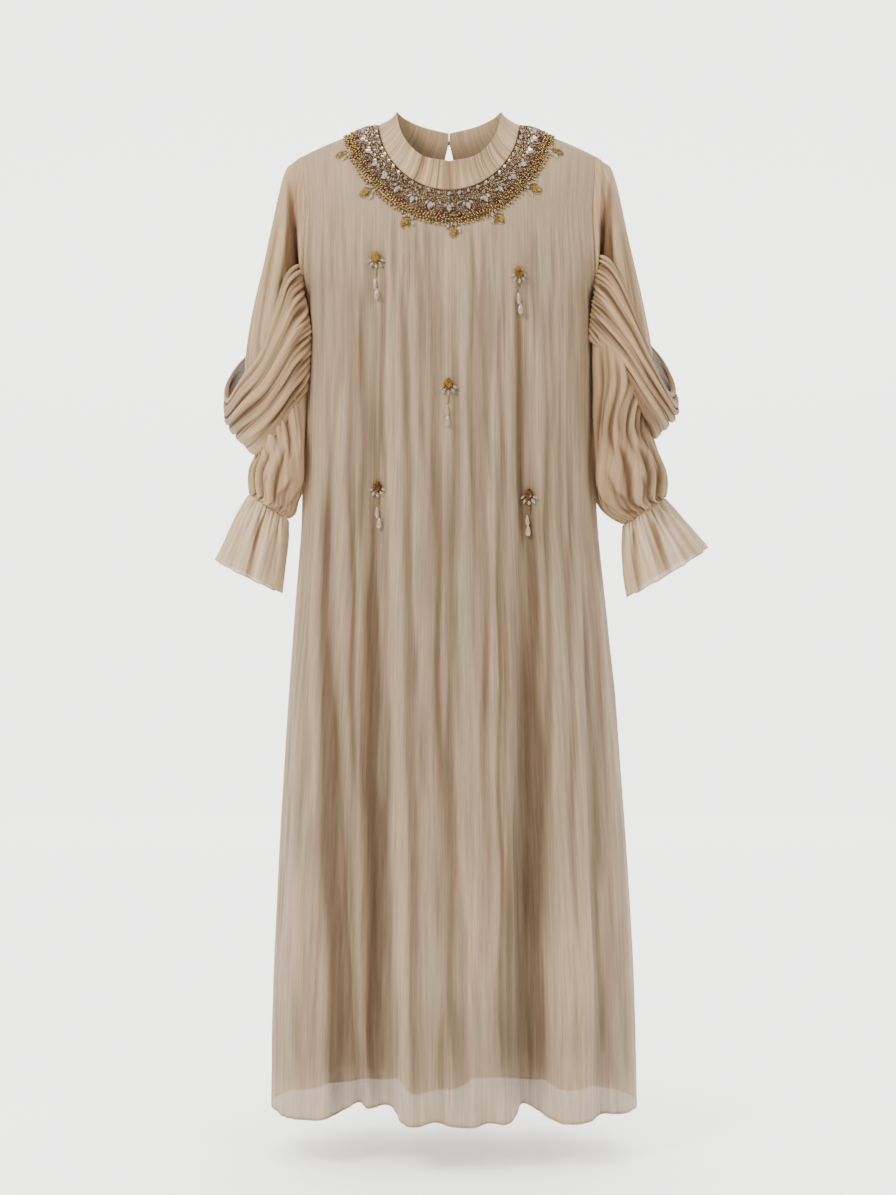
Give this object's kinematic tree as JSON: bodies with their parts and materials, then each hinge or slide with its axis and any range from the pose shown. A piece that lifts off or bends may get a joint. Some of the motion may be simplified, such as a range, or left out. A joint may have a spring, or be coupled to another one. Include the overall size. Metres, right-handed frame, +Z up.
{
  "type": "abaya dress",
  "caption": "Long loose abaya dress with a stand collar, beaded yoke and hanging drops, pleated sling sleeves, puffed lower sleeves and flared sheer cuffs, shown filled out as worn",
  "frame": {"origin": "between the two points where the shoulder seams meet the neck, where the wearer's shoulders carry it", "axes": "+Z up, -Y to the front of the garment, +X to the wearer's left"},
  "size_m": [0.7091, 0.3027, 1.417],
  "materials": {
    "taupe_chiffon": "crinkled",
    "taupe_chiffon_back": "crinkled",
    "collar_chiffon": "crinkled",
    "sleeve_chiffon": "crinkled",
    "sheer_cuff": "sheer crinkled",
    "lining_crepe": "matt",
    "beadwork": "beaded",
    "amber_and_crystal": "faceted",
    "crystal_and_pearl": "polished",
    "aged_brass": "aged",
    "cord": "plain"
  },
  "bodies": {
    "root": {"front_panel": "taupe_chiffon", "back_panel": "taupe_chiffon_back", "collar": "collar_chiffon", "lining": "lining_crepe", "upper_sleeve_left": "sleeve_chiffon", "upper_sleeve_right": "sleeve_chiffon", "sling_left": "sleeve_chiffon", "sling_right": "sleeve_chiffon", "lower_sleeve_left": "sleeve_chiffon", "lower_sleeve_right": "sleeve_chiffon", "cuff_left": "sheer_cuff", "cuff_right": "sheer_cuff", "yoke_beadwork": "beadwork", "motif_far_left": "amber_and_crystal", "motif_left": "amber_and_crystal", "motif_middle_left": "amber_and_crystal", "motif_centre": "amber_and_crystal", "motif_middle_right": "amber_and_crystal", "motif_right": "amber_and_crystal", "motif_far_right": "amber_and_crystal", "drop_top_left": "crystal_and_pearl", "drop_top_right": "crystal_and_pearl", "drop_middle": "crystal_and_pearl", "drop_low_left": "crystal_and_pearl", "drop_low_right": "crystal_and_pearl", "collar_button": "aged_brass", "button_loop": "cord"}
  },
  "joints": []
}
